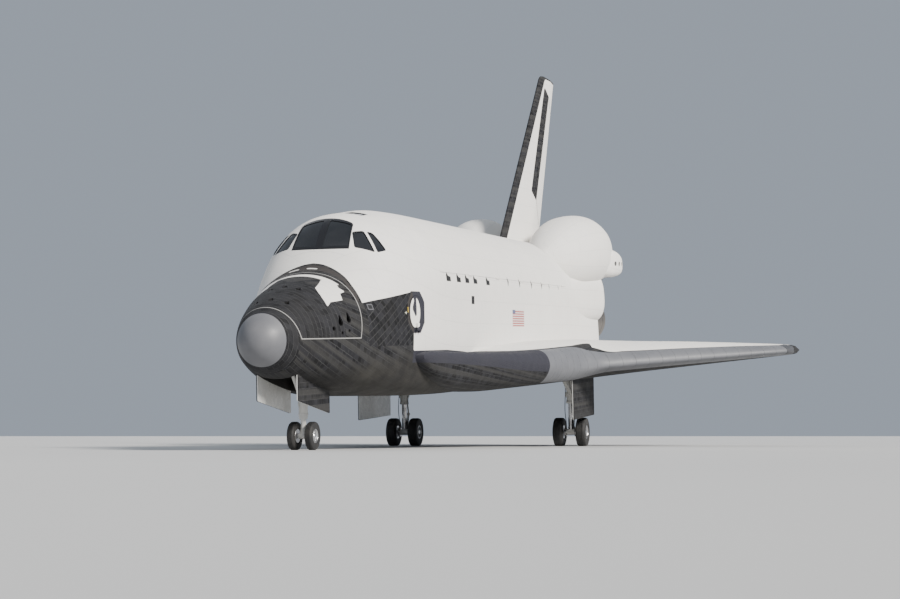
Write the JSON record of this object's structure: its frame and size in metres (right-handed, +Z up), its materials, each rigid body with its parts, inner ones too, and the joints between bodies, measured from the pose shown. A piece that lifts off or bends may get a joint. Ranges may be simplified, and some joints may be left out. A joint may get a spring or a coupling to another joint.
{
  "type": "space shuttle orbiter",
  "caption": "Full-size winged space shuttle on its landing gear, with split rudder, hinged control surfaces, payload bay doors and side hatch.",
  "frame": {"origin": "on the floor, under the middle of the part's bounding box", "axes": "+Z up; -Y towards the nose; +X towards the port side"},
  "size_m": [23.78, 36.5012, 17.3509],
  "materials": {
    "nose_carbon": "satin",
    "edge_carbon": "satin",
    "white_tile": "matte",
    "black_tile": "matte",
    "white_blanket": "matte",
    "window_glass": "gloss",
    "cabin_grey": "matte",
    "nozzle_metal": "satin",
    "hinge_steel": "satin",
    "gear_paint": "gloss",
    "wheel_metal": "satin",
    "tyre_rubber": "matte",
    "fitting_steel": "satin"
  },
  "bodies": {
    "airframe": {"nose_cap": "nose_carbon", "leading_edge_port": "edge_carbon", "leading_edge_starboard": "edge_carbon", "forward_fuselage": "white_tile", "mid_fuselage": "white_tile", "aft_fuselage": "white_tile", "fin": "white_tile", "wing_port": "white_tile", "wing_starboard": "white_tile", "forward_thruster_module": "black_tile", "nose_gear_door_port": "black_tile", "nose_gear_door_starboard": "black_tile", "main_gear_door_port": "black_tile", "main_gear_door_starboard": "black_tile", "engine_pod_port": "white_blanket", "engine_pod_starboard": "white_blanket", "window_front_port": "window_glass", "window_front_starboard": "window_glass", "window_middle_port": "window_glass", "window_middle_starboard": "window_glass", "window_side_port": "window_glass", "window_side_starboard": "window_glass", "window_overhead_port": "window_glass", "window_overhead_starboard": "window_glass", "flight_deck": "cabin_grey", "main_engine_upper": "nozzle_metal", "main_engine_port": "nozzle_metal", "main_engine_starboard": "nozzle_metal", "pod_engine_port": "nozzle_metal", "pod_engine_starboard": "nozzle_metal", "nose_leg": "gear_paint", "main_leg_port": "gear_paint", "main_leg_starboard": "gear_paint", "forward_attach_fitting": "fitting_steel", "aft_attach_fitting_port": "fitting_steel", "aft_attach_fitting_starboard": "fitting_steel"},
    "nose_steering": {"nose_fork": "gear_paint"},
    "nose_wheels": {"nose_wheel_rims": "wheel_metal", "nose_tyre_port": "tyre_rubber", "nose_tyre_starboard": "tyre_rubber"},
    "body_flap": {"body_flap": "black_tile"},
    "rudder": {"rudder_tube": "hinge_steel"},
    "side_hatch": {"side_hatch": "white_tile"},
    "main_wheels_port": {"main_wheel_rims_port": "wheel_metal", "main_tyre_inner_port": "tyre_rubber", "main_tyre_outer_port": "tyre_rubber"},
    "elevon_inboard_port": {"elevon_inboard_port": "white_tile"},
    "elevon_outboard_port": {"elevon_outboard_port": "white_tile"},
    "speed_brake_port": {"speed_brake_port": "white_tile"},
    "payload_door_port": {"payload_door_port": "white_blanket"},
    "main_wheels_starboard": {"main_wheel_rims_starboard": "wheel_metal", "main_tyre_inner_starboard": "tyre_rubber", "main_tyre_outer_starboard": "tyre_rubber"},
    "elevon_inboard_starboard": {"elevon_inboard_starboard": "white_tile"},
    "elevon_outboard_starboard": {"elevon_outboard_starboard": "white_tile"},
    "speed_brake_starboard": {"speed_brake_starboard": "white_tile"},
    "payload_door_starboard": {"payload_door_starboard": "white_blanket"}
  },
  "joints": [
    {"name": "nose_steering", "type": "hinge", "parent": "airframe", "child": "nose_steering", "pos_m": [0, -14.62468, 0.97039], "axis": [0, -0.061, 0.9981], "range_deg": [-10, 10]},
    {"name": "nose_wheels_spin", "type": "hinge", "parent": "nose_steering", "child": "nose_wheels", "pos_m": [0, -14.58995, 0.40253], "axis": [1, 0, 0], "continuous": true},
    {"name": "main_wheels_port_spin", "type": "hinge", "parent": "airframe", "child": "main_wheels_port", "pos_m": [3.459, 5.71229, 0.56017], "axis": [1, 0, 0], "continuous": true},
    {"name": "main_wheels_starboard_spin", "type": "hinge", "parent": "airframe", "child": "main_wheels_starboard", "pos_m": [-3.459, 5.71229, 0.56017], "axis": [1, 0, 0], "continuous": true},
    {"name": "elevon_inboard_port_hinge", "type": "hinge", "parent": "airframe", "child": "elevon_inboard_port", "pos_m": [5.41187, 11.00091, 3.54548], "axis": [0.9981, -0.0037, 0.0609], "range_deg": [-20, 35]},
    {"name": "elevon_inboard_starboard_hinge", "type": "hinge", "parent": "airframe", "child": "elevon_inboard_starboard", "pos_m": [-5.41187, 11.00091, 3.54548], "axis": [0.9981, 0.0037, -0.0609], "range_deg": [-20, 35]},
    {"name": "elevon_outboard_port_hinge", "type": "hinge", "parent": "airframe", "child": "elevon_outboard_port", "pos_m": [9.8386, 10.98438, 3.81573], "axis": [0.9981, -0.0037, 0.0609], "range_deg": [-20, 35]},
    {"name": "elevon_outboard_starboard_hinge", "type": "hinge", "parent": "airframe", "child": "elevon_outboard_starboard", "pos_m": [-9.8386, 10.98438, 3.81573], "axis": [0.9981, 0.0037, -0.0609], "range_deg": [-20, 35]},
    {"name": "body_flap_hinge", "type": "hinge", "parent": "airframe", "child": "body_flap", "pos_m": [0, 14.68729, 3.60275], "axis": [1, 0, 0], "range_deg": [-22.5, 11.7]},
    {"name": "rudder_hinge", "type": "hinge", "parent": "airframe", "child": "rudder", "pos_m": [0, 14.9427, 13.65694], "axis": [0, 0.52, 0.8542], "range_deg": [-27.1, 27.1]},
    {"name": "speed_brake_port_hinge", "type": "hinge", "parent": "rudder", "child": "speed_brake_port", "pos_m": [0, 14.9427, 13.65694], "axis": [0, -0.52, -0.8542], "range_deg": [0, 49.3]},
    {"name": "speed_brake_starboard_hinge", "type": "hinge", "parent": "rudder", "child": "speed_brake_starboard", "pos_m": [0, 14.9427, 13.65694], "axis": [0, 0.52, 0.8542], "range_deg": [0, 49.3]},
    {"name": "payload_door_port_hinge", "type": "hinge", "parent": "airframe", "child": "payload_door_port", "pos_m": [2.6248, -0.40905, 6.06273], "axis": [0, 0.9981, 0.061], "range_deg": [0, 175.5]},
    {"name": "payload_door_starboard_hinge", "type": "hinge", "parent": "airframe", "child": "payload_door_starboard", "pos_m": [-2.6248, -0.40905, 6.06273], "axis": [0, -0.9981, -0.061], "range_deg": [0, 175.5]},
    {"name": "side_hatch_hinge", "type": "hinge", "parent": "airframe", "child": "side_hatch", "pos_m": [2.50908, -11.64938, 3.56687], "axis": [0.1564, 0.9858, 0.0603], "range_deg": [0, 90]}
  ],
  "couplings": [
    {"joint": "speed_brake_starboard_hinge", "follows": "speed_brake_port_hinge", "ratio": 1}
  ]
}
